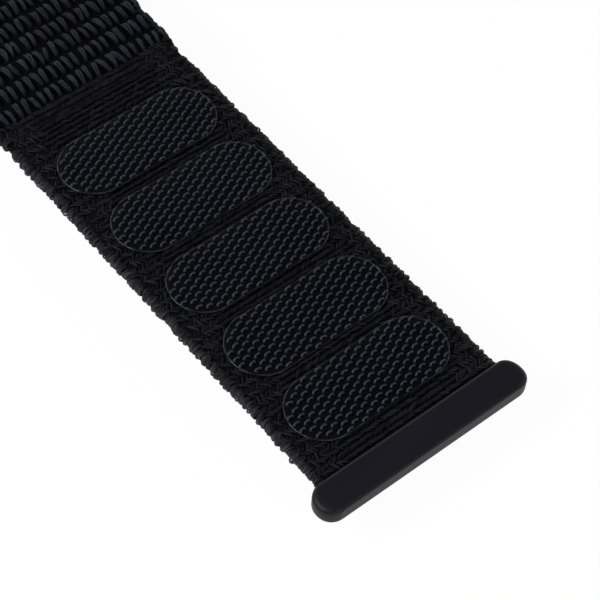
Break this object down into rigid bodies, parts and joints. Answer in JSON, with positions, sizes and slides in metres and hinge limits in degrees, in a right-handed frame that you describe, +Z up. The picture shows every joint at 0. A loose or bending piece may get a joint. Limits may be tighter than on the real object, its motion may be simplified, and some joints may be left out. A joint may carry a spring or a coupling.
{
  "type": "nylon watch strap",
  "caption": "Woven nylon hook-and-loop watch strap with hook pads on its tail, a moulded end bar, a threaded ring, a sewn eye and sprung quick-release pins.",
  "frame": {"origin": "on the table under the middle of the flat, open strap", "axes": "+X along the strap to the tip with the end bar, +Y across the strap to the release knobs' side, +Z up, out of the outer face"},
  "size_m": [0.24, 0.0252, 0.0088],
  "materials": {
    "ground_nylon": "matt woven nylon, ribs across the strap",
    "pile_nylon": "rows of soft nylon loops",
    "skin_nylon": "fine soft nylon loops",
    "thread": "twisted nylon sewing thread",
    "hook_resin": "smoky clear film with moulded hooks",
    "bar_resin": "satin moulded nylon",
    "dark_steel": "dark coated, fine satin",
    "bright_steel": "turned, bright"
  },
  "bodies": {
    "band": {"band_weave": "ground_nylon", "band_pile": "pile_nylon", "band_skin": "skin_nylon", "hem_thread_1": "thread", "hem_thread_2": "thread"},
    "tail": {"tail_weave": "ground_nylon", "tail_pile": "pile_nylon", "tail_skin": "skin_nylon", "hook_pad_1": "hook_resin", "hook_pad_2": "hook_resin", "hook_pad_3": "hook_resin", "hook_pad_4": "hook_resin", "hook_pad_5": "hook_resin", "end_bar": "bar_resin"},
    "slider": {"slider_frame": "dark_steel"},
    "slider_pin": {"slider_pin_tube": "bright_steel", "slider_pin_fixed_tip": "bright_steel", "slider_pin_spring": "bright_steel"},
    "slider_plunger": {"slider_pin_release_tip": "bright_steel", "slider_pin_release_knob": "bright_steel"},
    "eye_pin": {"eye_pin_tube": "bright_steel", "eye_pin_fixed_tip": "bright_steel", "eye_pin_spring": "bright_steel"},
    "eye_plunger": {"eye_pin_release_tip": "bright_steel", "eye_pin_release_knob": "bright_steel"}
  },
  "joints": [
    {"name": "tail_fold", "type": "hinge", "parent": "band", "child": "tail", "pos_m": [0.0365, 0, 0.0075], "axis": [0, -1, 0], "range_deg": [0, 179]},
    {"name": "slider_travel", "type": "slide", "parent": "band", "child": "slider", "axis": [1, 0, 0], "range_m": [0, 0.075]},
    {"name": "slider_pin_turn", "type": "hinge", "parent": "slider", "child": "slider_pin", "pos_m": [0.0423, 0, 0.0014], "axis": [0, 1, 0], "range_deg": [-8, 8]},
    {"name": "slider_release", "type": "slide", "parent": "slider_pin", "child": "slider_plunger", "axis": [0, -1, 0], "range_m": [0, 0.0012], "stiffness_N_per_m": 400, "springref_m": -0.0015, "deforming": ["slider_pin_spring"]},
    {"name": "eye_pin_turn", "type": "hinge", "parent": "band", "child": "eye_pin", "pos_m": [-0.11725, 0, 0.0027], "axis": [0, 1, 0], "range_deg": [-8, 8]},
    {"name": "eye_release", "type": "slide", "parent": "eye_pin", "child": "eye_plunger", "axis": [0, -1, 0], "range_m": [0, 0.0012], "stiffness_N_per_m": 400, "springref_m": -0.0015, "deforming": ["eye_pin_spring"]}
  ]
}
